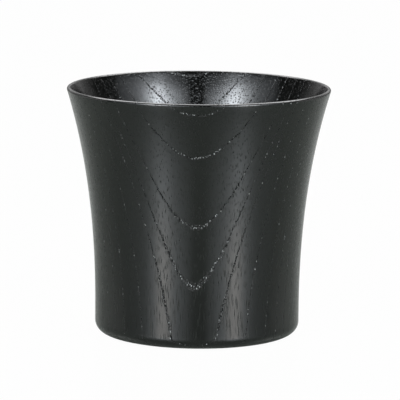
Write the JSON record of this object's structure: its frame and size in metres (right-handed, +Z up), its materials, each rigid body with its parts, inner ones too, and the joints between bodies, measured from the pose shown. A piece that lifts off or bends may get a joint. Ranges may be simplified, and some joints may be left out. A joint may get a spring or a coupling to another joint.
{
  "type": "lacquered wooden cup",
  "caption": "Flared cup without a handle, turned from one block of wood and covered in black lacquer, for hot or cold drinks.",
  "frame": {"origin": "middle of the foot, on the surface that the cup stands on", "axes": "+Z up along the axis that the cup is turned about; -Y towards the picture's camera"},
  "size_m": [0.09, 0.09, 0.0845],
  "materials": {
    "wood": "bare ring-porous wood, grain along the cup's axis",
    "underside_lacquer": "black lacquer, satin, over open pores of end grain",
    "outside_lacquer": "black lacquer, satin, with the wood's rings and pores showing through",
    "inside_lacquer": "black lacquer, half gloss, with the wood's rings and pores showing through"
  },
  "bodies": {
    "root": {"turned_wood_body": "wood", "underside_lacquer_coat": "underside_lacquer", "outside_lacquer_coat": "outside_lacquer", "inside_lacquer_coat": "inside_lacquer"}
  },
  "joints": []
}
